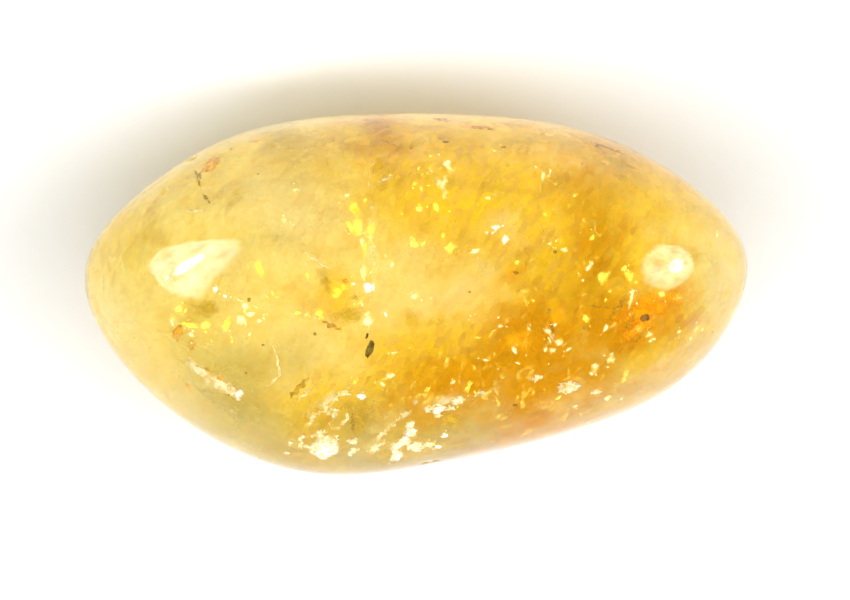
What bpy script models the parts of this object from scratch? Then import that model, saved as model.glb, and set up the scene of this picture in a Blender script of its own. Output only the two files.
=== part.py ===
"""Tumbled stone: one piece of golden quartz, worn to a rounded pebble and polished.

Metres, +Z up. +X runs along the stone's length and +Y towards its steeper long side.
The stone lies on the small worn flat spot under it, which is at z = 0, and the middle
of its length and width is over the origin.
"""

import math

import bmesh
import bpy
from mathutils import Vector, noise

MM = 0.001

# Driving dimensions of the finished stone: the worn shape below is scaled to them
LENGTH = 30.0 * MM
WIDTH = 16.4 * MM
THICKNESS = 13.4 * MM

# Tumbling wears a broken lump into a few broad faces that run softly into each other.
# Each face is (compass angle, angle above the horizon, distance from the middle in mm).
SIDE_FACES = [
    (90, 6, 8.7),
    (56, 2, 11.9),
    (50, 2, 15.0),
    (-20, 0, 14.8),
    (-47, -2, 12.8),
    (-76, -2, 7.9),
    (-88, -2, 10.1),
    (-115, 0, 10.4),
    (-153, 0, 15.2),
    (193, 0, 17.8),
    (127, 2, 11.7),
    (91, 6, 9.9),
]
UPPER_FACES = [
    (-89, 81, 6.5),
    (91, 47, 7.8),
    (-83, 44, 8.0),
    (-10, 67, 10.6),
    (192, 59, 10.8),
    (-130, 44, 9.9),
    (-50, 45, 10.5),
    (123, 49, 10.2),
    (60, 52, 10.3),
]
LOWER_FACES = [
    (250, -88, 6.9),
    (86, -50, 7.7),
    (-96, -46, 8.0),
    (4, -62, 9.7),
    (178, -60, 10.1),
    (-42, -46, 10.8),
    (132, -50, 9.8),
    (-140, -48, 10.6),
    (48, -44, 10.5),
]
# How sharply one worn face turns into the next: higher is crisper
CRISPNESS = 8.0

# Shallow hollows left where the rough lump was chipped deeper than the wear has reached.
# Each is (compass angle, angle above the horizon, width in mm, depth in mm).
HOLLOWS = [
    (146, 22, 2.6, 0.16),
    (128, 40, 2.2, 0.10),
    (-152, 34, 3.4, 0.14),
    (-32, 30, 3.0, 0.12),
    (24, 38, 3.2, 0.12),
    (-104, 30, 2.4, 0.10),
    (60, -24, 3.0, 0.18),
    (-160, -20, 3.2, 0.20),
    (-62, -30, 2.8, 0.16),
    (12, -24, 2.6, 0.14),
]
# Low waves that polishing leaves in the faces
WAVE_LENGTH = 5.0 * MM
WAVE_HEIGHT = 0.07 * MM

# The stone rocks onto a flat spot, worn this far into its lowest face
REST_WEAR = 0.12 * MM

MESH_LEVELS = 5
SHARP_ANGLE = math.radians(30)
QUARTZ_COLOUR = (0.93, 0.66, 0.20, 1.0)
QUARTZ_ROUGHNESS = 0.06
QUARTZ_IOR = 1.544


def direction(compass, above):
    """Unit vector at a compass angle from +X and an angle above the horizon, in degrees."""
    around, up = math.radians(compass), math.radians(above)
    level = math.cos(up)
    return Vector((level * math.cos(around), level * math.sin(around), math.sin(up)))


def worn_faces():
    """The worn faces as (unit normal, distance in metres)."""
    every_face = SIDE_FACES + UPPER_FACES + LOWER_FACES
    return [(direction(around, up), far * MM) for around, up, far in every_face]


def reach(way, faces):
    """Distance from the middle to the surface along a unit vector, before hollows."""
    total = sum((max(normal.dot(way), 0.0) / far) ** CRISPNESS for normal, far in faces)
    return total ** (-1.0 / CRISPNESS)


def worn_away(way, point):
    """Depth that hollows and polishing waves take off at a point of the surface."""
    depth = WAVE_HEIGHT * (0.5 - 0.5 * noise.noise(point / WAVE_LENGTH))
    for around, up, wide, deep in HOLLOWS:
        middle = direction(around, up)
        off = (way - middle * way.dot(middle)).length * point.length
        if way.dot(middle) > 0.0:
            depth += deep * MM * math.exp(-((2.0 * off / (wide * MM)) ** 2))
    return depth


def stone_mesh():
    """The closed skin of the stone, about its own middle."""
    faces = worn_faces()
    mesh = bmesh.new()
    bmesh.ops.create_icosphere(mesh, subdivisions=MESH_LEVELS, radius=1.0)
    for vertex in mesh.verts:
        stretched = Vector(
            (vertex.co.x * LENGTH, vertex.co.y * WIDTH, vertex.co.z * THICKNESS)
        )
        way = stretched.normalized()
        point = way * reach(way, faces)
        vertex.co = point - way * worn_away(way, point)
    return mesh


def wear_rest_spot(mesh):
    """Flattens the lowest part into one flat spot, and returns its height."""
    level = min(vertex.co.z for vertex in mesh.verts) + REST_WEAR
    for vertex in mesh.verts:
        vertex.co.z = max(vertex.co.z, level)
    spot = [f for f in mesh.faces if all(v.co.z == level for v in f.verts)]
    bmesh.ops.dissolve_faces(mesh, faces=spot)
    mesh.faces.ensure_lookup_table()
    outline = max(mesh.faces, key=lambda face: len(face.verts))
    bmesh.ops.poke(mesh, faces=[outline])
    return level


def settle_and_size(mesh, level):
    """Puts the flat spot at z = 0 under the origin and scales to the driving dimensions."""
    lows = [min(vertex.co[axis] for vertex in mesh.verts) for axis in range(3)]
    highs = [max(vertex.co[axis] for vertex in mesh.verts) for axis in range(3)]
    middle = Vector(((lows[0] + highs[0]) / 2, (lows[1] + highs[1]) / 2, level))
    sizes = (LENGTH, WIDTH, THICKNESS)
    stretch = Vector([size / (high - low) for size, low, high in zip(sizes, lows, highs)])
    for vertex in mesh.verts:
        from_spot = vertex.co - middle
        vertex.co = Vector([gap * factor for gap, factor in zip(from_spot, stretch)])


def quartz_material():
    """Clear golden quartz with a polished skin."""
    material = bpy.data.materials.new("golden_quartz")
    material.use_nodes = True
    shader = material.node_tree.nodes["Principled BSDF"]
    shader.inputs["Base Color"].default_value = QUARTZ_COLOUR
    shader.inputs["Roughness"].default_value = QUARTZ_ROUGHNESS
    shader.inputs["Metallic"].default_value = 0.0
    shader.inputs["IOR"].default_value = QUARTZ_IOR
    shader.inputs["Transmission Weight"].default_value = 1.0
    return material


def make_stone():
    """The stone, one solid."""
    mesh = stone_mesh()
    level = wear_rest_spot(mesh)
    settle_and_size(mesh, level)
    bmesh.ops.recalc_face_normals(mesh, faces=mesh.faces)
    data = bpy.data.meshes.new("stone")
    mesh.to_mesh(data)
    mesh.free()
    data.shade_smooth()
    data.set_sharp_from_angle(angle=SHARP_ANGLE)
    data.materials.append(quartz_material())
    stone = bpy.data.objects.new("stone", data)
    bpy.context.scene.collection.objects.link(stone)
    return stone


def main():
    for old in list(bpy.data.objects):
        bpy.data.objects.remove(old)
    make_stone()


main()
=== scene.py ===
"""Looks of the tumbled stone: clear golden quartz with clouds, cracks and flashes inside.

Run as a script. Metres, +Z up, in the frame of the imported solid.
"""

import functools
import math

import bmesh
import bpy
import numpy as np
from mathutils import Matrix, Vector, noise
from mathutils.bvhtree import BVHTree


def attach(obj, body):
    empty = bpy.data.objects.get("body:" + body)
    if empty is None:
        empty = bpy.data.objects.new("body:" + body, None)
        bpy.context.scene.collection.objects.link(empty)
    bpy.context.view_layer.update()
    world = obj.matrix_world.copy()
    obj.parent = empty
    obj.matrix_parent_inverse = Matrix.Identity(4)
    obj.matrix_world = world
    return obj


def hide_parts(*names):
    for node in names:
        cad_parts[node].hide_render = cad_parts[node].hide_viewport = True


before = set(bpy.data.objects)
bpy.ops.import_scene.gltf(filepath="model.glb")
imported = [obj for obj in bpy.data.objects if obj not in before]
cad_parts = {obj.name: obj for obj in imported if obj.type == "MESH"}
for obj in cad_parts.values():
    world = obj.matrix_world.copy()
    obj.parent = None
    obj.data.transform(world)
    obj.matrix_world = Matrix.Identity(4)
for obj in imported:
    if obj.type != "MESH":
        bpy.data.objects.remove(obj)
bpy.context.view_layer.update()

bl_info = {
    "name": "Tumbled golden quartz",
    "version": (1, 0, 0),
    "blender": (4, 5, 0),
    "location": "View3D > Sidebar > Stone",
    "description": "Builds a polished pebble of golden quartz and a plain stage for it",
    "category": "Add Mesh",
}

MM = 0.001
BODY = "root"
NODE = "stone"

# The picture is 850 by 600, looks straight down, and shows this many metres a pixel
PICTURE = (850, 600)
PIXEL = 30.0 * MM / 662
STONE_MIDDLE = (416.0, 294.0)
VIEW_LEVEL = 6.5 * MM

# How fine the ball is that each skin starts from
SKIN_LEVELS = 7
INNER_LEVELS = 6
# The longest edge of a face with less than this area, in square metres, is turned
SLIVER_AREA = 1e-13
# The least clear quartz between the skin and what lies inside
SKIN_COVER = 0.06 * MM
PLATE_THICKNESS = 0.05 * MM
CHIP_THICKNESS = 0.04 * MM
BREAK_THICKNESS = 0.03 * MM
# The clouds' layers, outermost first, as (depth in mm, cover)
CLOUD_LAYERS = [(0.65, 0.32), (1.6, 0.55), (3.2, 0.8)]
# How far each layer's pattern is moved from the one before, in metres
CLOUD_SHIFT = Vector((0.013, -0.007, 0.005))
FLECK_COUNT = 520
# How brightly the clouds shine by themselves where light comes out again, a painted light
LIT_PAINTED_GLOW = 0.16
# Sets where the smooth noise that swirls the colours is read
SWIRL_SEED = 3
FLOOR_REACH = 0.6
FLOOR_DROP = 0.02 * MM
SENSOR_WIDTH = 36.0

# Worn faces of the stone as (compass angle, angle above the horizon, distance in mm)
WORN_FACES = [
    (90, 6, 8.7), (56, 2, 11.9), (50, 2, 15.0), (-20, 0, 14.8), (-47, -2, 12.8),
    (-76, -2, 7.9), (-88, -2, 10.1), (-115, 0, 10.4), (-153, 0, 15.2), (193, 0, 17.8),
    (127, 2, 11.7), (91, 6, 9.9), (-89, 81, 6.5), (91, 47, 7.8), (-83, 44, 8.0),
    (-10, 67, 10.6), (192, 59, 10.8), (-130, 44, 9.9), (-50, 45, 10.5), (123, 49, 10.2),
    (60, 52, 10.3), (250, -88, 6.9), (86, -50, 7.7), (-96, -46, 8.0), (4, -62, 9.7),
    (178, -60, 10.1), (-42, -46, 10.8), (132, -50, 9.8), (-140, -48, 10.6), (48, -44, 10.5),
]
# Shallow hollows as (compass angle, angle above the horizon, width in mm, depth in mm)
HOLLOWS = [
    (146, 22, 2.6, 0.16), (128, 40, 2.2, 0.10), (-152, 34, 3.4, 0.14), (-32, 30, 3.0, 0.12),
    (24, 38, 3.2, 0.12), (-104, 30, 2.4, 0.10), (60, -24, 3.0, 0.18), (-160, -20, 3.2, 0.20),
    (-62, -30, 2.8, 0.16), (12, -24, 2.6, 0.14),
]

# Pits in the skin as (picture x, picture y, radius in picture pixels, depth in mm)
PITS = [
    (163, 192, 3.5, 0.14), (192, 159, 5.0, 0.12), (200, 186, 4.0, 0.08), (221, 379, 4.0, 0.10),
    (228, 387, 3.0, 0.10), (230, 394, 3.0, 0.08), (190, 360, 2.5, 0.06), (411, 148, 3.0, 0.07),
    (722, 311, 3.0, 0.06), (712, 332, 3.0, 0.06), (425, 463, 4.0, 0.08), (436, 461, 3.5, 0.08),
]

# Colour zones as (picture x, picture y, height in mm, half length and half width in picture
# pixels, half height in mm, turn in degrees, strength)
HONEY_ZONES = [
    (470, 200, 8.0, 130, 75, 9.0, -5, 0.90),
    (395, 160, 8.0, 60, 40, 8.0, -15, 0.90),
    (320, 180, 8.0, 60, 45, 6.0, -20, 0.40),
    (225, 200, 8.0, 45, 22, 5.0, 30, 0.35),
    (570, 270, 8.0, 100, 110, 9.0, 10, 1.00),
    (445, 360, 8.0, 130, 48, 9.0, 16, 0.95),
    (330, 405, 7.0, 55, 50, 8.0, 40, 0.85),
    (420, 430, 6.0, 70, 40, 8.0, 10, 0.80),
    (650, 330, 8.0, 60, 45, 8.0, 20, 0.80),
    (335, 295, 9.0, 32, 26, 5.0, 20, 0.80),
    (205, 312, 9.0, 26, 16, 4.0, 0, 0.60),
    (640, 205, 8.0, 60, 36, 8.0, -25, 0.70),
    (140, 240, 8.0, 30, 30, 6.0, 50, 0.40),
]
AMBER_ZONES = [
    (535, 330, 8.0, 62, 46, 9.0, 30, 1.00),
    (480, 368, 8.0, 100, 26, 9.0, 16, 1.20),
    (590, 250, 8.0, 34, 60, 9.0, 0, 0.75),
    (610, 320, 8.0, 40, 34, 9.0, 25, 0.90),
    (555, 382, 7.5, 70, 24, 9.0, 20, 1.00),
    (582, 192, 8.0, 45, 26, 8.0, -15, 0.50),
    (512, 268, 8.0, 26, 20, 6.0, 30, 0.75),
    (388, 158, 8.0, 26, 20, 6.0, -20, 0.55),
    (335, 298, 9.0, 24, 20, 3.0, 20, 0.45),
    (320, 420, 7.0, 24, 16, 6.0, 50, 0.30),
]
RUST_ZONES = [(655, 305, 9.5, 40, 20, 2.2, 22, 1.0), (628, 330, 9.0, 16, 14, 2.2, 40, 0.8)]
CLEAR_ZONES = [
    (190, 345, 7.5, 48, 50, 6.0, -35, 0.8),
    (240, 380, 6.0, 60, 60, 6.0, -30, 0.9),
    (275, 435, 6.0, 60, 40, 5.0, -20, 0.8),
    (345, 315, 9.0, 30, 22, 4.0, 0, 0.7),
]
# Painted shade: here the clouds turn towards the dim shade tone, in the see-through places and
# towards the lower side of the picture
PAINTED_SHADE_ZONES = [
    (240, 365, 6.5, 46, 38, 6.0, -30, 0.75),
    (258, 420, 5.5, 70, 34, 6.0, -30, 1.0),
    (310, 455, 5.5, 50, 20, 5.0, 0, 0.80),
    (290, 345, 7.5, 50, 30, 5.0, 0, 0.45),
    (283, 142, 8.5, 26, 16, 4.0, -20, 0.70),
    (362, 418, 7.0, 20, 30, 6.0, 0, 0.95),
    (208, 310, 8.0, 26, 16, 4.0, 0, 0.5),
    (455, 424, 7.0, 60, 14, 6.0, 15, 0.75),
    (410, 460, 5.5, 60, 14, 5.0, 10, 0.60),
    (400, 410, 7.0, 150, 46, 8.0, 12, 0.45),
    (560, 375, 7.0, 80, 26, 8.0, 15, 0.40),
]
# Where the clouds shine by themselves, a painted light for light that has gone through the whole
# stone and comes out again
LIT_ZONES = [
    (480, 175, 8.0, 150, 55, 9.0, -3, 1.00),
    (225, 205, 8.0, 60, 36, 7.0, 20, 0.55),
    (330, 160, 8.0, 70, 40, 8.0, -10, 0.45),
    (650, 215, 8.0, 70, 50, 8.0, -30, 0.60),
    (430, 128, 8.0, 200, 20, 9.0, 0, 2.20),
    (270, 152, 8.0, 60, 16, 9.0, 28, 0.90),
]
# Pale milky places, and along the rims painted rim light, a pale band for light coming through the
# thin edge
PALE_AND_RIM_LIGHT_ZONES = [
    (455, 290, 8.5, 50, 18, 4.0, 25, 0.35),
    (415, 265, 8.5, 30, 14, 4.0, -20, 0.30),
    (500, 233, 8.5, 22, 16, 4.0, 0, 0.70),
    (300, 215, 8.5, 60, 34, 5.0, -15, 0.55),
    (240, 215, 8.5, 36, 20, 4.0, 20, 0.50),
    (122, 330, 6.5, 30, 70, 8.0, 15, 0.60),
    (175, 410, 5.5, 18, 70, 8.0, 55, 1.00),
    (722, 285, 6.5, 24, 70, 8.0, 0, 0.90),
    (700, 350, 6.5, 32, 64, 8.0, -40, 1.00),
    (640, 405, 6.5, 95, 20, 8.0, 24, 1.00),
    (560, 435, 6.0, 90, 16, 8.0, 15, 0.80),
    (450, 128, 6.5, 190, 10, 8.0, 0, 0.10),
]
# The zones of each value that the clouds hold: their colours, and in lit where they shine by
# themselves as a painted light
COLOUR_ZONES = {
    "honey": HONEY_ZONES,
    "amber": AMBER_ZONES,
    "rust": RUST_ZONES,
    "shade": PAINTED_SHADE_ZONES,
    "pale": PALE_AND_RIM_LIGHT_ZONES,
    "lit": LIT_ZONES,
}

# Flashes where a flat break inside catches the light, a painted highlight of bright flakes that shine
# by themselves, as (picture x, picture y, depth in mm, length and width in picture pixels, turn in
# degrees)
YELLOW_FLASHES = [
    (341, 290, 0.5, 22, 11, 20), (320, 313, 0.5, 10, 8, -40), (307, 276, 0.5, 9, 4, -60),
    (259, 269, 0.4, 20, 6, -65), (227, 324, 0.4, 15, 8, 62), (206, 326, 0.4, 9, 8, 10),
    (189, 325, 0.4, 20, 6, -15), (179, 309, 0.4, 9, 8, 40), (414, 245, 0.5, 8, 6, 10),
    (450, 248, 0.5, 12, 11, 70), (437, 208, 0.5, 11, 7, -60), (418, 208, 0.5, 7, 7, 0),
    (414, 184, 0.5, 8, 6, 20), (430, 156, 0.5, 7, 4, 10), (430, 168, 0.5, 9, 4, 85),
    (494, 151, 0.5, 6, 5, 80), (422, 244, 0.5, 5, 5, 0), (602, 278, 0.5, 14, 11, 50),
    (630, 277, 0.5, 11, 8, -60), (625, 268, 0.5, 6, 4, 30), (585, 319, 0.6, 6, 6, 0),
    (593, 237, 0.5, 6, 5, 60), (640, 327, 0.5, 6, 4, 50), (662, 294, 0.4, 6, 5, 0),
    (429, 445, 0.4, 8, 6, 70), (355, 382, 0.4, 5, 4, 0), (469, 386, 0.4, 11, 5, 65),
    (354, 304, 0.4, 4, 3, 0), (361, 302, 0.4, 5, 3, 60), (365, 248, 0.6, 12, 5, 85),
    (372, 228, 0.6, 14, 6, 80), (555, 184, 0.5, 6, 5, 0), (517, 262, 0.5, 6, 4, 30),
    (354, 208, 0.5, 20, 13, -70), (357, 226, 0.5, 18, 11, 80), (545, 214, 0.5, 5, 4, 70),
    (575, 196, 0.5, 5, 4, 20), (533, 300, 0.6, 6, 3, -30),
]
PALE_FLASHES = [
    (448, 167, 0.5, 17, 7, -68), (442, 187, 0.5, 22, 8, -72), (346, 196, 0.5, 8, 5, 60),
    (362, 240, 0.5, 8, 5, 75), (364, 272, 0.8, 14, 8, 85), (543, 176, 0.5, 13, 6, 85),
    (392, 264, 0.5, 8, 5, 85), (414, 296, 0.5, 6, 5, 0), (366, 322, 0.4, 14, 8, 15),
    (394, 353, 0.4, 6, 4, 20), (500, 326, 0.4, 7, 5, 15), (470, 316, 0.4, 4, 3, 0),
    (548, 331, 0.4, 7, 5, -35), (550, 340, 0.4, 9, 3, -65), (560, 342, 0.4, 10, 8, 45),
    (552, 351, 0.4, 8, 5, 60), (555, 325, 0.4, 5, 3, 60), (514, 350, 0.4, 8, 5, -50),
    (529, 329, 0.4, 6, 3, -60), (606, 328, 0.4, 8, 4, 60), (631, 301, 0.3, 16, 4, 78),
    (633, 291, 0.3, 8, 2, 20), (649, 335, 0.4, 9, 7, 45), (679, 332, 0.4, 4, 3, 0),
    (696, 329, 0.4, 9, 5, 80), (717, 235, 0.3, 9, 4, 80), (590, 266, 0.4, 8, 6, 60),
    (565, 250, 0.4, 9, 4, -15), (550, 244, 0.4, 5, 4, 0), (488, 198, 0.4, 6, 4, 0),
    (610, 360, 0.4, 10, 6, 10), (596, 368, 0.4, 9, 7, -40), (608, 398, 0.3, 8, 5, 10),
    (575, 406, 0.3, 6, 3, 20), (621, 399, 0.3, 5, 3, 0), (453, 382, 0.4, 5, 4, 20),
    (485, 360, 0.4, 8, 3, -10), (382, 384, 0.4, 6, 4, -35), (391, 376, 0.4, 9, 5, 20),
    (344, 394, 0.4, 6, 3, 0), (454, 381, 0.4, 4, 3, 0), (191, 334, 0.4, 7, 5, -20),
    (241, 319, 0.4, 10, 8, 20), (251, 314, 0.4, 11, 5, 15), (245, 306, 0.4, 8, 5, 80),
    (259, 321, 0.4, 5, 4, 0), (295, 191, 0.4, 6, 5, 80), (284, 220, 0.4, 6, 5, 60),
    (172, 323, 0.4, 10, 3, -65), (239, 300, 0.4, 9, 3, -20), (475, 251, 0.5, 12, 4, 25),
    (306, 315, 0.5, 6, 5, 0), (356, 228, 0.6, 10, 5, 10),
]
# White glints, a painted highlight of bright flakes that shine by themselves, in the same columns
WHITE_SPARKLES = [
    (367, 288, 0.3, 19, 11, -72), (354, 284, 0.3, 5, 3, -30), (495, 227, 0.3, 12, 7, 20),
    (505, 239, 0.3, 14, 9, 60), (216, 290, 0.3, 8, 7, -60), (225, 296, 0.3, 6, 4, -50),
    (167, 278, 0.4, 5, 3, 30), (360, 396, 0.3, 6, 4, 0), (445, 436, 0.3, 6, 5, 20),
    (438, 447, 0.3, 6, 4, 0),
]

# Threads of pale healed cracks and brown seams, as (width in picture pixels, depth in mm,
# path of (picture x, picture y))
CREAM_THREADS = [
    (6.0, 0.4, [(306, 424), (313, 418), (321, 410)]),
    (6.0, 0.4, [(323, 415), (330, 405), (339, 394)]),
    (6.0, 0.4, [(327, 424), (336, 427), (344, 423), (348, 412)]),
    (6.0, 0.4, [(377, 439), (386, 431), (396, 422)]),
    (5.0, 0.4, [(396, 421), (403, 416), (409, 411)]),
    (6.0, 0.4, [(369, 451), (378, 445), (387, 440)]),
    (3.0, 0.4, [(365, 412), (372, 412)]),
    (2.5, 0.5, [(260, 390), (271, 383), (279, 376), (277, 357), (270, 341)]),
    (4.0, 0.5, [(297, 401), (305, 394), (314, 386)]),
    (3.5, 0.5, [(377, 183), (385, 179), (394, 176)]),
    (3.5, 0.4, [(183, 208), (196, 211), (209, 210)]),
    (4.0, 0.4, [(427, 411), (436, 405), (447, 408)]),
    (2.5, 0.2, [(415, 464), (427, 461), (438, 458)]),
    (3.5, 0.9, [(369, 262), (368, 250), (370, 238)]),
    (2.5, 0.6, [(300, 250), (318, 262), (331, 270)]),
]
BROWN_THREADS = [
    (4.5, 0.4, [(321, 320), (331, 326), (342, 331)]),
    (4.0, 0.4, [(352, 412), (352, 421), (353, 432)]),
    (5.5, 0.4, [(288, 399), (299, 388), (309, 377)]),
    (5.0, 0.3, [(614, 313), (620, 305), (627, 299)]),
    (4.0, 0.3, [(622, 334), (630, 322), (636, 312)]),
    (3.5, 0.3, [(634, 343), (643, 333), (652, 326)]),
    (2.0, 0.3, [(645, 318), (651, 316), (656, 313)]),
    (5.0, 0.2, [(433, 118), (442, 120), (452, 121)]),
    (5.5, 0.2, [(461, 125), (475, 127), (486, 128), (500, 131)]),
    (2.5, 0.2, [(381, 139), (389, 143), (399, 146)]),
    (2.0, 0.2, [(417, 466), (428, 464), (441, 461)]),
    (3.5, 0.2, [(194, 168), (198, 178), (201, 187)]),
    (2.5, 0.2, [(203, 193), (206, 199), (211, 204)]),
    (2.0, 0.3, [(180, 355), (200, 371), (219, 388), (236, 403)]),
    (2.0, 0.5, [(589, 306), (600, 307), (612, 308)]),
    (3.5, 0.2, [(588, 140), (600, 145), (611, 149), (626, 156)]),
]

# Thin plates of healed cracks and stained breaks, as outlines of (picture x,
# picture y, depth in mm)
CREAM_PLATES = [
    [(179, 354, 0.2), (196, 365, 0.25), (212, 373, 0.3), (226, 381, 0.3), (238, 388, 0.3),
     (246, 394, 0.3), (237, 404, 0.3), (222, 395, 0.3), (204, 380, 0.25)],
    [(386, 466, 0.3), (396, 463, 0.3), (402, 446, 0.35), (415, 430, 0.4), (408, 428, 0.4),
     (393, 444, 0.35)],
]
OLIVE_PLATES = [
    [(188, 304, 0.35), (204, 299, 0.35), (222, 302, 0.35), (226, 313, 0.35), (210, 320, 0.35),
     (192, 317, 0.35)],
    [(312, 262, 0.35), (324, 261, 0.35), (335, 270, 0.35), (336, 286, 0.35), (328, 298, 0.35),
     (319, 288, 0.35)],
    [(328, 313, 0.35), (340, 307, 0.35), (352, 306, 0.35), (366, 301, 0.35), (367, 311, 0.35),
     (359, 323, 0.35), (344, 327, 0.35), (333, 321, 0.35)],
    [(348, 300, 0.3), (354, 293, 0.3), (363, 296, 0.3), (359, 302, 0.3)],
    [(350, 402, 0.4), (366, 396, 0.4), (374, 402, 0.4), (372, 420, 0.4), (364, 438, 0.4),
     (352, 436, 0.4)],
    [(405, 306, 1.2), (416, 308, 1.2), (419, 325, 1.2), (410, 332, 1.2), (404, 320, 1.2)],
    [(437, 414, 0.7), (460, 410, 0.7), (474, 420, 0.7), (458, 430, 0.7), (442, 428, 0.7)],
]
GOLD_PLATES = [
    [(326, 270, 0.9), (350, 278, 0.9), (364, 296, 0.9), (352, 316, 0.9), (333, 316, 0.9),
     (322, 296, 0.9)],
    [(366, 150, 0.8), (392, 146, 0.8), (399, 160, 0.8), (384, 176, 0.8), (369, 178, 0.8)],
    [(500, 264, 0.8), (524, 258, 0.8), (531, 274, 0.8), (512, 286, 0.8), (502, 276, 0.8)],
    [(515, 135, 0.8), (530, 140, 0.8), (534, 165, 0.8), (524, 180, 0.8), (516, 160, 0.8)],
    [(545, 290, 0.9), (566, 300, 0.9), (572, 325, 0.9), (556, 338, 0.9), (543, 315, 0.9)],
    [(497, 332, 0.8), (530, 326, 0.8), (544, 345, 0.8), (520, 362, 0.8), (499, 352, 0.8)],
    [(440, 368, 0.8), (470, 352, 0.8), (492, 372, 0.8), (462, 388, 0.8)],
]
IRON_PLATES = [
    [(624, 320, 0.55), (640, 296, 0.55), (664, 288, 0.5), (676, 297, 0.5), (658, 314, 0.5),
     (640, 332, 0.55)],
    [(611, 316, 0.45), (631, 293, 0.45), (655, 285, 0.45), (695, 288, 0.4), (684, 303, 0.4),
     (668, 318, 0.45), (650, 330, 0.45), (636, 344, 0.45), (620, 352, 0.45), (613, 334, 0.45)],
]

# Breaks that run down into the stone, as (length down in mm, lean in mm, path of (picture x,
# picture y, depth in mm))
DEEP_BREAKS = [
    (3.5, 0.4, [(364, 150, 0.4), (369, 200, 0.4), (371, 250, 0.5), (369, 300, 0.5), (366, 345, 0.4)]),
    (2.0, 0.8, [(306, 428, 0.4), (320, 411, 0.4), (338, 396, 0.4), (349, 384, 0.4)]),
    (2.4, 1.0, [(369, 451, 0.4), (385, 432, 0.4), (409, 410, 0.4), (424, 398, 0.4)]),
    (1.6, -0.8, [(181, 354, 0.3), (204, 369, 0.3), (226, 381, 0.3), (243, 393, 0.3)]),
    (2.0, 0.7, [(427, 411, 0.4), (447, 403, 0.4), (470, 386, 0.4)]),
    (1.8, 0.5, [(546, 322, 0.5), (552, 336, 0.5), (560, 352, 0.5)]),
]

# Olive crystals and dull brown specks as (picture x, picture y, depth in mm, length and width
# in picture pixels, turn in degrees)
OLIVE_CRYSTALS = [(370, 349, 0.3, 18, 7, 70), (367, 336, 0.3, 6, 2.5, 70)]
DULL_SPECKS = [
    (446, 142, 0.2, 7, 3, 0), (504, 147, 0.2, 6, 2.5, 25), (516, 273, 0.4, 5, 3, -20),
    (552, 328, 0.5, 9, 3, -70), (549, 311, 0.4, 5, 3, 60), (585, 328, 0.4, 4, 3, 0),
    (515, 405, 0.3, 5, 3, 10), (315, 334, 0.3, 3.5, 3, 0), (263, 345, 0.3, 3, 2, 0),
    (246, 373, 0.3, 3, 2.5, 0), (249, 300, 0.3, 4, 3, 80), (231, 149, 0.2, 3, 2.5, 0),
    (258, 174, 0.3, 2.5, 2, 0), (207, 369, 0.2, 6, 2.5, -20), (197, 366, 0.2, 3, 2, 0),
    (597, 146, 0.2, 4, 2.5, 20), (618, 151, 0.2, 5, 2.5, 20), (411, 148, 0.2, 4, 3, 20),
    (555, 252, 0.6, 4, 3, 0), (470, 292, 0.6, 3, 2, 0), (200, 176, 0.2, 9, 3, -70),
    (206, 197, 0.2, 6, 3, -50),
]
# Iron stains as (picture x, picture y, depth in mm, length, width and turn as above)
IRON_STAINS = [
    (177, 334, 0.3, 16, 9, 60), (192, 345, 0.3, 11, 7, 70),
    (188, 386, 0.4, 8, 3, -80), (158, 198, 0.35, 14, 5, 60), (211, 164, 0.4, 20, 12, 55),
    (218, 162, 0.4, 8, 4, 80), (255, 141, 0.2, 13, 6, 8), (475, 127, 0.2, 24, 7, -8),
    (440, 119, 0.2, 15, 6, -8),
    (342, 409, 0.4, 4, 3, 0), (345, 281, 0.4, 5, 4, 0), (221, 379, 0.15, 9, 5, -20),
    (229, 388, 0.15, 7, 5, 40), (236, 396, 0.15, 5, 4, 0),
    (208, 370, 0.2, 8, 3, -22), (551, 329, 0.7, 14, 8, -60), (516, 274, 0.7, 12, 7, 0),
]
IRON_SPECK = (645, 318, 0.25, 9, 7, 30)

# White and cream feathery lumps as (picture x, picture y, depth in mm, length, width and turn)
WHITE_FEATHERS = [
    (325, 449, 0.3, 27, 22, 80), (397, 456, 0.3, 15, 10, 80), (404, 442, 0.3, 13, 9, 50),
    (412, 433, 0.3, 11, 8, 50), (361, 396, 0.3, 8, 4, 0), (439, 410, 0.3, 11, 7, 30),
    (239, 394, 0.2, 9, 6, 40),
]
CREAM_FEATHERS = [
    (319, 434, 0.35, 12, 8, 0), (333, 439, 0.35, 10, 7, 30), (333, 413, 0.35, 11, 9, 30),
    (416, 447, 0.35, 15, 12, -20), (395, 446, 0.35, 12, 8, 60), (410, 425, 0.35, 8, 6, 30),
    (345, 393, 0.35, 11, 5, 0), (569, 388, 0.45, 20, 12, 10), (457, 401, 0.35, 13, 8, 20),
    (429, 409, 0.35, 9, 7, 0), (449, 408, 0.35, 8, 5, 0), (437, 416, 0.35, 6, 5, 0),
    (353, 441, 0.35, 11, 7, 10), (354, 451, 0.35, 12, 7, 40), (374, 449, 0.35, 15, 7, 25),
    (302, 438, 0.35, 9, 5, 40), (301, 445, 0.35, 7, 4, 80), (308, 447, 0.35, 9, 4, -20),
    (290, 443, 0.35, 5, 4, 0), (287, 453, 0.35, 5, 4, 60), (429, 445, 0.35, 9, 7, 0),
    (438, 447, 0.35, 7, 5, 0), (445, 436, 0.35, 6, 5, 20), (315, 435, 0.35, 8, 4, 20),
    (536, 378, 0.5, 10, 5, 10), (596, 392, 0.45, 10, 6, 0), (480, 394, 0.45, 10, 5, 20),
]
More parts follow.
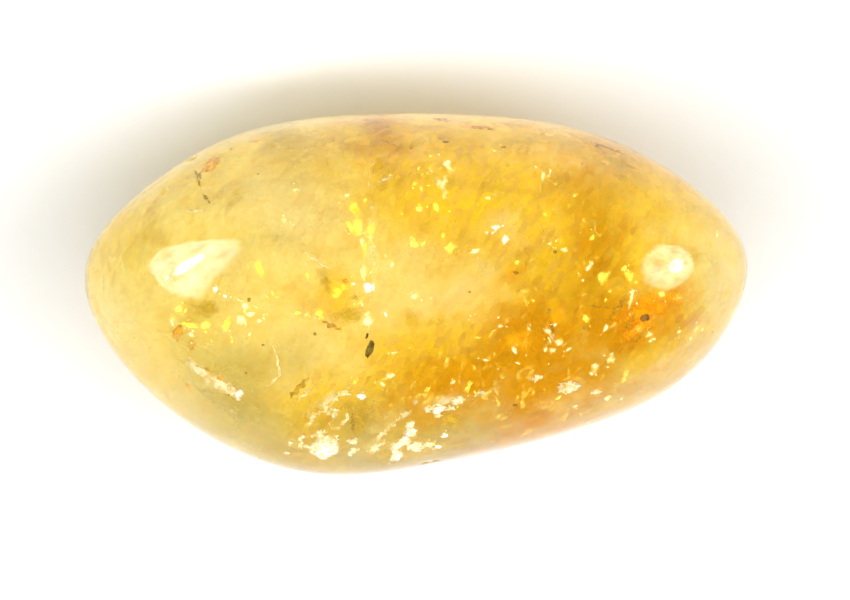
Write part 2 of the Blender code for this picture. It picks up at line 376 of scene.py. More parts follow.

# What lies inside the quartz, as the settings of mineral_material; those with painted_glow shine by
# themselves, a painted light
MINERALS = {
    "yellow_flash": dict(
        low=(1.0, 0.74, 0.02), high=(1.0, 0.96, 0.12), scale=2500, rough=0.3, painted_glow=0.22,
        thin=(0.5, 1.0), fade=1.0,
    ),
    "pale_flash": dict(
        low=(1.0, 0.82, 0.22), high=(1.0, 0.97, 0.50), scale=2500, rough=0.3, painted_glow=0.24,
        thin=(0.4, 1.0), fade=1.0,
    ),
    "white_sparkle": dict(
        low=(1.0, 0.95, 0.70), high=(1.0, 1.0, 0.97), scale=2500, rough=0.2, painted_glow=0.5,
        thin=(0.6, 1.0), fade=0.8,
    ),
    "gold_fleck": dict(
        low=(0.98, 0.60, 0.02), high=(1.0, 0.88, 0.16), scale=2500, rough=0.35, painted_glow=0.08,
        thin=(0.25, 0.9), fade=0.8,
    ),
    "cream_crack": dict(
        low=(0.90, 0.66, 0.24), high=(0.98, 0.84, 0.46), scale=2400, rough=0.6,
        thin=(0.15, 0.85), fade=0.45, ragged=1.6, shine=0.2,
    ),
    "brown_seam": dict(
        low=(0.34, 0.17, 0.004), high=(0.70, 0.42, 0.03), scale=1800, rough=0.5,
        thin=(0.35, 0.95), ragged=1.6, shine=0.1,
    ),
    "olive_break": dict(
        low=(0.48, 0.29, 0.02), high=(0.66, 0.43, 0.03), scale=1500, rough=0.5,
        thin=(0.4, 0.85), fade=0.9, shine=0.0,
    ),
    "gold_break": dict(
        low=(0.84, 0.44, 0.004), high=(0.96, 0.60, 0.01), scale=1500, rough=0.5,
        thin=(0.15, 0.7), fade=0.9, shine=0.0,
    ),
    "iron_break": dict(
        low=(0.86, 0.26, 0.001), high=(0.96, 0.42, 0.004), scale=1800, rough=0.5,
        thin=(0.25, 0.8), fade=0.9, ragged=1.6, shine=0.0,
    ),
    "deep_break": dict(
        low=(0.98, 0.84, 0.30), high=(1.0, 0.96, 0.62), scale=1600, rough=0.2,
        thin=(0.0, 0.5), stretch=(1.0, 1.0, 0.4), fade=0.9,
    ),
    "olive_crystal": dict(
        low=(0.05, 0.03, 0.001), high=(0.26, 0.17, 0.008), scale=3000, thin=(0.7, 1.0), shine=0.2
    ),
    "dull_speck": dict(
        low=(0.20, 0.12, 0.004), high=(0.50, 0.32, 0.03), scale=3000, rough=0.5,
        thin=(0.3, 0.85), shine=0.1,
    ),
    "iron_stain": dict(
        low=(0.62, 0.26, 0.004), high=(0.92, 0.46, 0.02), scale=2200, rough=0.6,
        thin=(0.15, 0.9), ragged=2.0, shine=0.2,
    ),
    "iron_speck": dict(
        low=(0.14, 0.06, 0.002), high=(0.36, 0.16, 0.01), scale=3500, rough=0.5, shine=0.2
    ),
    "white_feather": dict(
        low=(0.97, 0.84, 0.46), high=(1.0, 0.97, 0.86), scale=3500, rough=0.7, painted_glow=0.12,
        thin=(0.5, 1.0), fade=0.8, ragged=2.4, shine=0.2,
    ),
    "cream_feather": dict(
        low=(0.92, 0.70, 0.28), high=(1.0, 0.93, 0.64), scale=3500, rough=0.7, painted_glow=0.04,
        thin=(0.1, 0.85), fade=0.8, ragged=2.4, shine=0.2,
    ),
}


def length_property(name, description, millimetres):
    """A length, given in millimetres."""
    return bpy.props.FloatProperty(
        name=name, description=description, default=millimetres * MM, unit="LENGTH", precision=5
    )


def tint_property(name, description, colour):
    """A colour."""
    return bpy.props.FloatVectorProperty(
        name=name, description=description, default=colour, subtype="COLOR", size=3
    )


def number_property(name, description, default):
    """A plain number."""
    return bpy.props.FloatProperty(name=name, description=description, default=default)


class StoneForm(bpy.types.PropertyGroup):
    """Sizes of the stone."""

    length: length_property("Length", "Along X", 30.0)
    width: length_property("Width", "Along Y", 16.4)
    thickness: length_property("Thickness", "Along Z", 13.4)
    crispness: number_property("Crispness", "How sharply one worn face turns into the next", 8.0)
    wave_length: length_property("Wave length", "Distance between polishing waves", 5.0)
    wave_height: length_property("Wave height", "Height of the polishing waves", 0.07)
    rest_wear: length_property("Rest wear", "Depth worn off the lowest face", 0.12)


class QuartzLook(bpy.types.PropertyGroup):
    """Colours of the quartz and of what is inside it."""

    index: number_property("Index", "How strongly quartz bends light", 1.544)
    body_tint: tint_property("Body tint", "Colour clear quartz lets through", (0.995, 0.90, 0.20))
    body_depth: number_property("Body depth", "Strength of the body tint per metre", 28.0)
    milk: tint_property("Milk", "Colour of the thin clouds", (0.96, 0.90, 0.48))
    gold: tint_property("Gold", "Colour of the thicker clouds", (0.95, 0.79, 0.15))
    # Pale is the milky quartz's own tone and, along the rims, painted rim light
    pale: tint_property("Pale", "Colour of the pale ends", (0.97, 0.91, 0.53))
    honey: tint_property("Honey", "Colour of the golden middle", (0.97, 0.73, 0.03))
    amber: tint_property("Amber", "Colour of the amber half", (0.76, 0.43, 0.003))
    rust: tint_property("Rust", "Colour of the iron stained patch", (0.78, 0.37, 0.002))
    # The shade tone is painted shade
    shade: tint_property("Shade", "Colour of the dim see-through places", (0.60, 0.54, 0.17))


class StageSetup(bpy.types.PropertyGroup):
    """Floor, lights and camera."""

    sky: number_property("Sky", "Light from straight above", 0.10)
    horizon: number_property("Horizon", "Light from all round at the level of the floor", 0.65)
    view_distance: length_property("View distance", "Camera height over the stone's middle", 1200.0)


def direction(compass, above):
    """Unit vector at a compass angle from +X and an angle above the horizon, in degrees."""
    around, up = math.radians(compass), math.radians(above)
    level = math.cos(up)
    return Vector((level * math.cos(around), level * math.sin(around), math.sin(up)))


def worn_points(ways, form):
    """Points of the stone's skin along unit vectors, about the stone's own middle."""
    normals = np.array([direction(around, up) for around, up, _ in WORN_FACES])
    distances = np.array([far for _, _, far in WORN_FACES]) * MM
    facing = np.clip(ways @ normals.T, 0.0, None) / distances
    reach = (facing**form.crispness).sum(axis=1) ** (-1.0 / form.crispness)
    points = ways * reach[:, None]
    depth = np.array(
        [form.wave_height * (0.5 - 0.5 * noise.noise(Vector(p) / form.wave_length)) for p in points]
    )
    for around, up, wide, deep in HOLLOWS:
        middle = np.array(direction(around, up))
        along = ways @ middle
        off = np.linalg.norm(ways - middle * along[:, None], axis=1) * reach
        dip = deep * MM * np.exp(-((2.0 * off / (wide * MM)) ** 2))
        depth += np.where(along > 0.0, dip, 0.0)
    return points - ways * depth[:, None]


def stone_bmesh(form, levels):
    """The stone's closed skin at its real size, on its flat spot."""
    mesh = bmesh.new()
    bmesh.ops.create_icosphere(mesh, subdivisions=levels, radius=1.0)
    ways = np.array([vertex.co for vertex in mesh.verts])
    ways *= (form.length, form.width, form.thickness)
    ways /= np.linalg.norm(ways, axis=1)[:, None]
    points = worn_points(ways, form)
    level = points[:, 2].min() + form.rest_wear
    points[:, 2] = np.maximum(points[:, 2], level)
    low, high = points.min(axis=0), points.max(axis=0)
    middle = (low + high) / 2
    middle[2] = level
    points = (points - middle) * ((form.length, form.width, form.thickness) / (high - low))
    for vertex, point in zip(mesh.verts, points):
        vertex.co = point
    bmesh.ops.recalc_face_normals(mesh, faces=mesh.faces)
    return mesh


def at_picture(x, y, height):
    """Where a picture pixel falls at a height given in mm, seen straight down."""
    return Vector(((x - STONE_MIDDLE[0]) * PIXEL, (STONE_MIDDLE[1] - y) * PIXEL, height * MM))


def eye_place():
    """Where the camera stands."""
    middle = at_picture(PICTURE[0] / 2, PICTURE[1] / 2, 0.0)
    middle.z = VIEW_LEVEL + bpy.context.scene.stage_setup.view_distance
    return middle


@functools.lru_cache(maxsize=1)
def skin_tree():
    """The stone's skin as a tree that lines of sight can be cast at."""
    mesh = stone_bmesh(bpy.context.scene.stone_form, INNER_LEVELS)
    tree = BVHTree.FromBMesh(mesh)
    mesh.free()
    return tree


def inside(x, y, depth):
    """The point that shows at a picture pixel, a depth in mm under the skin, and the way back."""
    target = at_picture(x, y, VIEW_LEVEL / MM)
    sight = (target - eye_place()).normalized()
    point, normal, _, _ = skin_tree().ray_cast(eye_place(), sight)
    if point is None:
        raise ValueError(f"no stone at picture point {x}, {y}")
    ratio = 1.0 / bpy.context.scene.quartz_look.index
    facing = -normal.dot(sight)
    bent = sight * ratio + normal * (ratio * facing - math.sqrt(1 - ratio**2 * (1 - facing**2)))
    return point + bent.normalized() * depth * MM, -bent.normalized()


def placed(table):
    """The middle, way back, length, width and turn of each row of a table, in metres."""
    for x, y, depth, long, wide, turn in table:
        yield *inside(x, y, depth), long * PIXEL, wide * PIXEL, turn


def plate_axes(up, turn):
    """Unit vectors along and across a plate that faces `up`, turned in the picture's plane."""
    angle = math.radians(turn)
    along = Vector((math.cos(angle), math.sin(angle), 0.0))
    along = (along - up * along.dot(up)).normalized()
    return along, up.cross(along)


def tilted(up, degrees, rng):
    """A unit vector up to some degrees off another one."""
    lean = math.tan(math.radians(degrees))
    return (up + Vector(rng.uniform(-lean, lean, 3))).normalized()


def new_mesh():
    """An empty bmesh whose vertices hold `core`: 1 where solid, 0 where it fades out."""
    mesh = bmesh.new()
    mesh.verts.layers.float.new("core")
    return mesh


def add_vertex(mesh, place, core):
    """Adds a vertex that holds its own core value."""
    vertex = mesh.verts.new(place)
    vertex[mesh.verts.layers.float["core"]] = core
    return vertex


def add_outlined(mesh, spots, middle, up, thick):
    """Adds one thin plate, closed all round, from its outline."""
    top = [add_vertex(mesh, middle.lerp(spot, 0.92) + up * thick / 2, 0.08) for spot in spots]
    low = [add_vertex(mesh, spot - up * thick / 2, 0.0) for spot in spots]
    crown = add_vertex(mesh, middle + up * thick * 0.9, 1.0)
    base = add_vertex(mesh, middle - up * thick * 0.9, 1.0)
    for number in range(len(spots)):
        after = (number + 1) % len(spots)
        mesh.faces.new((crown, top[number], top[after]))
        mesh.faces.new((top[number], low[number], low[after], top[after]))
        mesh.faces.new((base, low[after], low[number]))


def add_flake(mesh, middle, up, turn, long, wide, thick, rng):
    """Adds one thin broken plate with an uneven outline."""
    along, across = plate_axes(up, turn)
    corners = int(rng.integers(7, 12))
    spots = []
    for number in range(corners):
        angle = 2 * math.pi * (number + rng.uniform(-0.35, 0.35)) / corners
        reach = rng.uniform(0.55, 1.15) / 2
        spots.append(
            middle + along * math.cos(angle) * long * reach + across * math.sin(angle) * wide * reach
        )
    add_outlined(mesh, spots, middle, up, thick)


def add_plate(mesh, outline, thick, rng):
    """Adds a larger plate whose outline is given as (point, up) pairs."""
    middle = sum((point for point, _ in outline), Vector()) / len(outline)
    up = sum((way for _, way in outline), Vector()).normalized()
    spots = []
    for (here, _), (there, _) in zip(outline, outline[1:] + outline[:1]):
        for part in (0.0, 0.33, 0.66):
            spot = here.lerp(there, part)
            spots.append(spot + (spot - middle) * rng.uniform(-0.12, 0.10))
    add_outlined(mesh, spots, middle, up, thick)


def add_lump(mesh, middle, up, turn, sizes, rough, seed, levels=3, soft=False):
    """Adds one rounded uneven lump; sizes are its half length, half width and half height."""
    along, across = plate_axes(up, turn)
    shift = Vector((seed * 1.7, seed * 2.9, seed * 0.7))
    made = bmesh.ops.create_icosphere(mesh, subdivisions=levels, radius=1.0)["verts"]
    core = mesh.verts.layers.float["core"]
    for vertex in made:
        way = vertex.co.copy()
        vertex[core] = min(1.0, 1.3 * abs(way.z)) if soft else 1.0
        swell = 1.0 + rough * (noise.noise(way * 1.8 + shift) + 0.6 * noise.noise(way * 4.5 - shift))
        vertex.co = middle + swell * (
            along * way.x * sizes[0] + across * way.y * sizes[1] + up * way.z * sizes[2]
        )


def add_crumbs(mesh, middle, up, turn, long, wide, rng):
    """Adds a loose heap of small lumps in the shape of an ellipse."""
    along, across = plate_axes(up, turn)
    for _ in range(max(3, round(long * wide / PIXEL**2 / 14))):
        far = rng.uniform(0, 1) ** 0.6 * rng.uniform(0.8, 1.25) / 2
        angle = rng.uniform(0, 2 * math.pi)
        spot = middle + along * math.cos(angle) * far * long + across * math.sin(angle) * far * wide
        spot += up * rng.normal(0, 0.04) * MM
        size = rng.uniform(1.1, 2.6) * PIXEL * (1.15 - far)
        sizes = (size * rng.uniform(1.0, 2.0), size, size * 0.5)
        lean = tilted(up, 20, rng)
        seed = rng.uniform(0, 50)
        add_lump(mesh, spot, lean, turn + rng.normal(0, 35), sizes, 0.9, seed, 2, soft=True)


def along_path(path, share):
    """The point at a share of a path of (point, up) pairs, with the ways up and across."""
    spot = share * (len(path) - 1)
    number = min(int(spot), len(path) - 2)
    (here, up_here), (there, up_there) = path[number], path[number + 1]
    up = up_here.lerp(up_there, spot - number).normalized()
    across = up.cross((there - here).normalized()).normalized()
    return here.lerp(there, spot - number), up, across


def add_thread(mesh, path, wide, rng):
    """Adds one flattened thread that tapers to a point at both ends, along (point, up) pairs."""
    steps = 5 * (len(path) - 1)
    corners = 6
    rings = []
    for step in range(1, steps):
        point, up, across = along_path(path, step / steps)
        point = point + across * rng.uniform(-0.35, 0.35) * wide
        swell = math.sin(math.pi * step / steps)
        half = wide / 2 * swell**0.5 * rng.uniform(0.5, 1.2)
        core = min(1.0, 2.5 * swell) * rng.uniform(0.35, 1.0)
        ring = []
        for angle in np.linspace(0, 2 * math.pi, corners, endpoint=False):
            spot = point + across * math.cos(angle) * half + up * math.sin(angle) * half * 0.5
            ring.append(add_vertex(mesh, spot, core))
        rings.append(ring)
    ends = [add_vertex(mesh, path[0][0], 0.0), add_vertex(mesh, path[-1][0], 0.0)]
    for corner in range(corners):
        after = (corner + 1) % corners
        mesh.faces.new((ends[0], rings[0][after], rings[0][corner]))
        mesh.faces.new((ends[1], rings[-1][corner], rings[-1][after]))
        for near, far in zip(rings, rings[1:]):
            mesh.faces.new((near[corner], near[after], far[after], far[corner]))


def add_sheet(mesh, place, columns, rows, thick):
    """Adds a closed thin sheet; place(u, v) gives its points for u and v from 0 to 1."""
    def spot(column, row):
        return place(column / columns, row / rows)

    front, back = {}, {}
    for column in range(columns + 1):
        for row in range(rows + 1):
            point = spot(column, row)
            step = 0.1 if column < columns else -0.1
            along = (spot(column + step, row) - point) / step
            side = along.cross(spot(column, row + 0.1) - point)
            shift = side.normalized() * thick / 2
            core = math.sin(math.pi * column / columns) * (1.0 - row / rows)
            front[column, row] = add_vertex(mesh, point + shift, core)
            back[column, row] = add_vertex(mesh, point - shift, core)
    for column in range(columns):
        for row in range(rows):
            corners = [(column, row), (column + 1, row), (column + 1, row + 1), (column, row + 1)]
            mesh.faces.new([front[corner] for corner in corners])
            mesh.faces.new([back[corner] for corner in reversed(corners)])
    rim = [(column, 0) for column in range(columns)]
    rim += [(columns, row) for row in range(rows)]
    rim += [(column, rows) for column in range(columns, 0, -1)]
    rim += [(0, row) for row in range(rows, 0, -1)]
    for here, there in zip(rim, rim[1:] + rim[:1]):
        mesh.faces.new((front[here], back[here], back[there], front[there]))


def add_break(mesh, path, deep, lean, seed):
    """Adds a thin uneven sheet that runs down from a path into the stone."""
    shift = Vector((seed * 3.1, seed * 1.3, seed * 2.3))

    def place(u, v):
        point, up, across = along_path(path, min(max(u, 0.0), 0.9999))
        down = v * deep * (0.75 + 0.5 * noise.noise(point / (1.2 * MM) + shift))
        sway = 0.25 * MM * noise.noise((point - up * down) / (0.9 * MM) - shift)
        return point - up * down + across * (lean * v + sway)

    add_sheet(mesh, place, 6 * (len(path) - 1), 6, BREAK_THICKNESS)


def keep_inside(mesh, margin):
    """Presses anything that would come through the skin back under it."""
    for vertex in mesh.verts:
        near, normal, _, _ = skin_tree().find_nearest(vertex.co)
        if (vertex.co - near).dot(normal) > -margin:
            vertex.co = near - normal * margin


def new_object(name, mesh, material):
    """Turns a bmesh into an object of the scene."""
    data = bpy.data.meshes.new(name)
    mesh.to_mesh(data)
    mesh.free()
    data.materials.append(material)
    made = bpy.data.objects.new(name, data)
    bpy.context.scene.collection.objects.link(made)
    return made


def new_piece(name, mesh, material, smooth=True, inner=True):
    """Makes a bmesh a piece of the stone; an inner piece stays under the skin."""
    if inner:
        keep_inside(mesh, SKIN_COVER)
    bmesh.ops.recalc_face_normals(mesh, faces=mesh.faces)
    piece = new_object(name, mesh, material)
    if smooth:
        piece.data.shade_smooth()
    piece.visible_shadow = not inner
    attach(piece, BODY)
    return piece


def fill(tree, node, given):
    """Sets or links a node's inputs by name or number; a colour is given without its alpha."""
    for socket, value in given.items():
        if isinstance(value, bpy.types.NodeSocket):
            tree.links.new(value, node.inputs[socket])
        elif node.inputs[socket].type == "RGBA":
            node.inputs[socket].default_value = (*value, 1.0)
        else:
            node.inputs[socket].default_value = value


def add_node(tree, kind, given=None, **settings):
    """Adds a shader node with its settings and inputs, and returns its outputs."""
    node = tree.nodes.new(f"ShaderNode{kind}")
    for name, value in settings.items():
        setattr(node, name, value)
    fill(tree, node, given or {})
    return node.outputs


def reckon(tree, operation, *values, clamp=False):
    """The result of a Math node."""
    return add_node(tree, "Math", dict(enumerate(values)), operation=operation, use_clamp=clamp)[0]


def vector(tree, operation, *values):
    """The result of a Vector Math node."""
    return add_node(tree, "VectorMath", dict(enumerate(values)), operation=operation)[0]


def blend(tree, share, first, second):
    """A share of the way from one colour to another."""
    return add_node(tree, "Mix", {"Factor": share, 6: first, 7: second}, data_type="RGBA")[2]


def mixed(tree, share, first, second):
    """A share of the way from one shader to another."""
    return add_node(tree, "MixShader", {0: share, 1: first, 2: second})[0]


def ranged(tree, value, start, end, least=0.0, most=1.0, curve="LINEAR"):
    """A value carried from the range start to end over to the range least to most."""
    given = {"Value": value, "From Min": start, "From Max": end, "To Min": least, "To Max": most}
    return add_node(tree, "MapRange", given, interpolation_type=curve)[0]


def grainy(tree, where, scale, detail=2.0, rough=0.5):
    """Uneven values from 0 to 1 all through space."""
    given = {"Vector": where, "Scale": scale, "Detail": detail, "Roughness": rough}
    return add_node(tree, "TexNoise", given)["Fac"]


def bumped(tree, height, strength, distance):
    """Facing that follows a fine height."""
    return add_node(tree, "Bump", {"Strength": strength, "Distance": distance, "Height": height})[0]


def held(tree, name):
    """A value that the mesh holds for each vertex."""
    return add_node(tree, "Attribute", attribute_name=name)["Fac"]


def own_place(tree):
    """Places in the piece's own frame."""
    return add_node(tree, "TexCoord")["Object"]


def new_material(name):
    """An empty material, its node tree and the node that takes its shaders."""
    material = bpy.data.materials.new(name)
    material.use_nodes = True
    tree = material.node_tree
    tree.nodes.clear()
    return material, tree, tree.nodes.new("ShaderNodeOutputMaterial")


def new_group(name, inputs, results):
    """An empty shader group with its inputs and results as {name: kind}, and both its ends."""
    group = bpy.data.node_groups.new(name, "ShaderNodeTree")
    for way, sockets in (("INPUT", inputs), ("OUTPUT", results)):
        for socket, kind in sockets.items():
            group.interface.new_socket(socket, in_out=way, socket_type=f"NodeSocket{kind}")
    given = group.nodes.new("NodeGroupInput").outputs
    return group, given, group.nodes.new("NodeGroupOutput")


def grain_group():
    """Shader group: fine uneven grain, as a colour between two, a mask and a height."""
    group = bpy.data.node_groups.get("mineral_grain")
    if group:
        return group
    group, given, results = new_group(
        "mineral_grain",
        {"Scale": "Float", "Stretch": "Vector", "Low": "Color", "High": "Color"},
        {"Colour": "Color", "Mask": "Float", "Height": "Float"},
    )
    stretched = vector(group, "MULTIPLY", own_place(group), given["Stretch"])
    grain = grainy(group, stretched, given["Scale"], detail=3.0)
    mask = ranged(group, grain, 0.38, 0.62)
    colour = blend(group, mask, given["Low"], given["High"])
    fill(group, results, {"Colour": colour, "Mask": mask, "Height": grain})
    return group


def mineral_material(
    name, low, high, scale, rough=0.4, painted_glow=0.0, thin=(1.0, 1.0), stretch=(1, 1, 1), fade=0.5,
    ragged=1.2, shine=0.5
):
    """What lies inside the quartz: grainy, partly glossy, and see-through where it is thin."""
    material, tree, output = new_material(name)
    given = {"Scale": scale, "Stretch": stretch, "Low": low, "High": high}
    grain = add_node(tree, "Group", given, node_tree=grain_group())
    least, most = thin
    cover = reckon(tree, "MULTIPLY_ADD", grain["Mask"], most - least, least)
    eaten = reckon(tree, "MULTIPLY_ADD", grain["Height"], ragged, -0.5 * ragged)
    start = 0.05 if fade > 0.6 else 0.0
    core = reckon(tree, "ADD", held(tree, "core"), eaten)
    soft = ranged(tree, core, start, fade, curve="SMOOTHSTEP")
    looks = {
        "Base Color": grain["Colour"],
        "Roughness": rough,
        "Specular IOR Level": shine,
        "Normal": bumped(tree, grain["Height"], 0.4, 0.03 * MM),
        "Alpha": reckon(tree, "MULTIPLY", cover, soft),
    }
    # Painted light: the mineral shines by itself in its own colour
    if painted_glow:
        looks |= {"Emission Color": grain["Colour"], "Emission Strength": painted_glow}
    fill(tree, output, {"Surface": add_node(tree, "BsdfPrincipled", looks)[0]})
    return material


def mineral(name):
    """The material of one of the minerals inside the quartz."""
    return mineral_material(name, **MINERALS[name])


def let_light_through(tree, surface):
    """Lamps and scattered light pass the clear skin straight, so they reach what is inside."""
    path = add_node(tree, "LightPath")
    way_out = add_node(tree, "NewGeometry")["Backfacing"]
    for ray, going_in, going_out in (
        ("Is Shadow Ray", (0.08, 0.11, 0.03), (0.88, 0.86, 0.82)),
        ("Is Diffuse Ray", (0.8, 0.72, 0.56), (0.88, 0.88, 0.86)),
    ):
        tint = blend(tree, way_out, going_in, going_out)
        open_way = add_node(tree, "BsdfTransparent", {"Color": tint})[0]
        surface = mixed(tree, path[ray], surface, open_way)
    return surface


def polished_quartz(look):
    """Clear quartz with a polished skin that carries faint polishing marks."""
    material, tree, output = new_material("polished_quartz")
    where = own_place(tree)
    haze = grainy(tree, where, scale=350.0, detail=3.0)
    marks = grainy(tree, where, scale=1400.0)
    looks = {
        "Base Color": (1.0, 1.0, 1.0),
        "IOR": look.index,
        "Transmission Weight": 1.0,
        "Roughness": ranged(tree, haze, 0.35, 0.70, least=0.015, most=0.07),
        "Normal": bumped(tree, marks, 0.03, 0.01 * MM),
    }
    surface = let_light_through(tree, add_node(tree, "BsdfPrincipled", looks)[0])
    soak = add_node(tree, "VolumeAbsorption", {"Color": look.body_tint, "Density": look.body_depth})
    fill(tree, output, {"Surface": surface, "Volume": soak[0]})
    return material


def cloud_group(look):
    """Shader group: colour, cover and facing of the tiny breaks that make up the clouds."""
    group = bpy.data.node_groups.get("quartz_clouds")
    if group:
        return group
    group, given, results = new_group(
        "quartz_clouds",
        {"Shift": "Vector", "Cover": "Float"},
        {"Colour": "Color", "Cover": "Float", "Facing": "Vector"},
    )
    shifted = vector(group, "ADD", own_place(group), given["Shift"])
    grain = grainy(group, shifted, scale=900.0, detail=5.0, rough=0.8)
    slant = {"Vector": shifted, "Rotation": (0.3, 0.2, math.radians(62)), "Scale": (1.8, 0.8, 1.0)}
    slanted = add_node(group, "Mapping", slant, vector_type="TEXTURE")[0]
    bits = add_node(group, "TexVoronoi", {"Vector": slanted, "Scale": 3000.0})["Color"]
    lot = add_node(group, "SeparateColor", {0: bits})[0]

    spread = ranged(group, grain, 0.30, 0.70)
    grit = reckon(group, "MULTIPLY_ADD", held(group, "honey"), 0.75, 0.35)
    speckled = reckon(group, "MULTIPLY_ADD", lot, 0.5, -0.25)
    speckled = reckon(group, "MULTIPLY", speckled, grit)
    uneven = reckon(group, "MULTIPLY_ADD", grain, 1.4, -0.70)
    uneven = reckon(group, "ADD", uneven, speckled)
    colour = blend(group, spread, look.milk, look.gold)
    # Shade is painted shade, and pale along the rims is painted rim light; honey, amber and rust are
    # the quartz's own colours
    for name in ("honey", "pale", "shade", "amber", "rust"):
        strength = reckon(group, "MULTIPLY_ADD", held(group, name), 1.3, uneven, clamp=True)
        colour = blend(group, strength, colour, getattr(look, name))

    patchy = reckon(group, "MULTIPLY_ADD", spread, 0.7, 0.6)
    cover = reckon(group, "MULTIPLY", patchy, given["Cover"])
    cover = reckon(group, "MULTIPLY", cover, held(group, "cover"), clamp=True)

    about = vector(group, "SUBTRACT", bits, (0.5, 0.5, 0.5))
    swing = {0: about, "Scale": reckon(group, "MULTIPLY", grit, 1.2)}
    sway = add_node(group, "VectorMath", swing, operation="SCALE")[0]
    sway = vector(group, "ADD", sway, (0.0, -0.45, 0.28))
    normal = add_node(group, "NewGeometry")["Normal"]
    outward = vector(group, "MULTIPLY_ADD", normal, (0.9, 0.9, 0.9), sway)
    facing = vector(group, "NORMALIZE", outward)
    fill(group, results, {"Colour": colour, "Cover": cover, "Facing": facing})
    return group


def cloud_material(name, look, shift, cover):
    """Soft cloud that both sends light back and lets it through, with gaps."""
    material, tree, output = new_material(name)
    cloud = add_node(tree, "Group", {"Shift": shift, "Cover": cover}, node_tree=cloud_group(look))
    looks = {"Color": cloud["Colour"], "Normal": cloud["Facing"]}
    front = add_node(tree, "BsdfDiffuse", looks)[0]
    back = add_node(tree, "BsdfTranslucent", looks)[0]
    # Painted light: in the lit zones the clouds shine by themselves in their own colour
    painted_glow = reckon(tree, "MULTIPLY", held(tree, "lit"), LIT_PAINTED_GLOW)
    shine = add_node(tree, "Emission", {"Color": cloud["Colour"], "Strength": painted_glow})[0]
    whole = add_node(tree, "AddShader", {0: mixed(tree, 0.5, front, back), 1: shine})[0]
    gaps = add_node(tree, "BsdfTransparent")[0]
    fill(tree, output, {"Surface": mixed(tree, cloud["Cover"], gaps, whole)})
    return material


def zone_strength(points, zones):
    """How strongly the soft ellipsoid zones act on each point; where they overlap, the most."""
    total = np.zeros(len(points))
    for x, y, height, long, wide, tall, turn, strength in zones:
        away = points - np.array(at_picture(x, y, height))
        along, across = math.cos(math.radians(turn)), math.sin(math.radians(turn))
        spread = (
            (away[:, 0] * along + away[:, 1] * across) / (long * PIXEL),
            (away[:, 1] * along - away[:, 0] * across) / (wide * PIXEL),
            away[:, 2] / (tall * MM),
        )
        within = np.clip((1.35 - np.linalg.norm(spread, axis=0)) / 0.9, 0.0, 1.0)
        total = np.maximum(total, within * within * (3.0 - 2.0 * within) * strength)
    return total


def swirled(points, scale, height, seed):
    """Points pushed about by smooth noise, so zones get natural outlines."""
    noise.seed_set(SWIRL_SEED)
    shift = Vector((seed * 7.3, seed * 3.1, seed * 5.7))
    moves = [
        noise.noise_vector(Vector(p) / scale + shift)
        + 0.5 * noise.noise_vector(Vector(p) / (scale * 0.4) - shift)
        for p in points
    ]
    return points + np.array(moves) * height


def add_values(data, values):
    """Stores values for the vertices under names that a material can read."""
    for name, numbers in values.items():
        attribute = data.attributes.new(name, "FLOAT", "POINT")
        attribute.data.foreach_set("value", np.asarray(numbers, np.float32))


class STONE_OT_polished_stone(bpy.types.Operator):
    """Build the stone's polished clear body"""

    bl_idname = "stone.polished_stone"
    bl_label = "Polished Stone"

    def execute(self, context):
        mesh = stone_bmesh(context.scene.stone_form, SKIN_LEVELS)
        mesh.normal_update()
        for x, y, radius, depth in PITS:
            self.dent(mesh, inside(x, y, 0.0)[0], radius * PIXEL, depth * MM)
        bmesh.ops.triangulate(mesh, faces=mesh.faces)
        slivers = [face for face in mesh.faces if face.calc_area() < SLIVER_AREA]
        longest = [max(face.edges, key=lambda edge: edge.calc_length()) for face in slivers]
        bmesh.ops.rotate_edges(mesh, edges=longest)
        material = polished_quartz(context.scene.quartz_look)
        piece = new_piece("polished_stone", mesh, material, inner=False)
        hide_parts(NODE)
        return {"FINISHED"}

    def dent(self, mesh, middle, radius, depth):
        """Presses a small round pit into the skin, after making the mesh finer round it."""
        for reach in (3.5, 2.5):
            near = [e for e in mesh.edges if (e.verts[0].co - middle).length < reach * radius]
            near = [e for e in near if e.calc_length() > 0.35 * radius]
            bmesh.ops.subdivide_edges(mesh, edges=near, cuts=1, use_grid_fill=True)
        mesh.normal_update()
        for vertex in mesh.verts:
            off = (vertex.co - middle).length / radius
            if off < 3.0:
                vertex.co -= vertex.normal * depth * math.exp(-(off**2))


class STONE_OT_clouds(bpy.types.Operator):
    """Build the milky clouds inside the quartz"""

    bl_idname = "stone.clouds"
    bl_label = "Clouds"

    def execute(self, context):
        form, look = context.scene.stone_form, context.scene.quartz_look
        for number, (depth, cover) in enumerate(CLOUD_LAYERS, 1):
            mesh = stone_bmesh(form, INNER_LEVELS)
            mesh.normal_update()
            shift = CLOUD_SHIFT * number
            for vertex in mesh.verts:
                uneven = 1.0 + 0.5 * noise.noise(vertex.co / (3.0 * MM) + shift * 1000)
                vertex.co -= vertex.normal * depth * MM * uneven
            name = f"cloud_{number}"
            piece = new_piece(name, mesh, cloud_material(name, look, shift, cover))
            add_values(piece.data, self.colours(piece.data, number, shift))
        return {"FINISHED"}

    def colours(self, data, number, shift):
        """How strongly each colour acts on each vertex of a cloud, and how thick the cloud is."""
        points = np.array([vertex.co for vertex in data.vertices])
        spots = swirled(points, scale=2.5 * MM, height=1.0 * MM, seed=number)
        found = {name: zone_strength(spots, zones) for name, zones in COLOUR_ZONES.items()}
        fine = np.array([noise.noise(Vector(p) / (1.3 * MM) + shift * 900) for p in points])
        cover = (1.0 - 0.9 * zone_strength(spots, CLEAR_ZONES)) * (1.0 + 0.5 * fine)
        for name, thicker in (("honey", 0.5), ("amber", 0.7), ("rust", 0.5), ("shade", 0.5)):
            cover += thicker * found[name]
        return found | {"cover": np.clip(cover, 0.0, 2.5)}


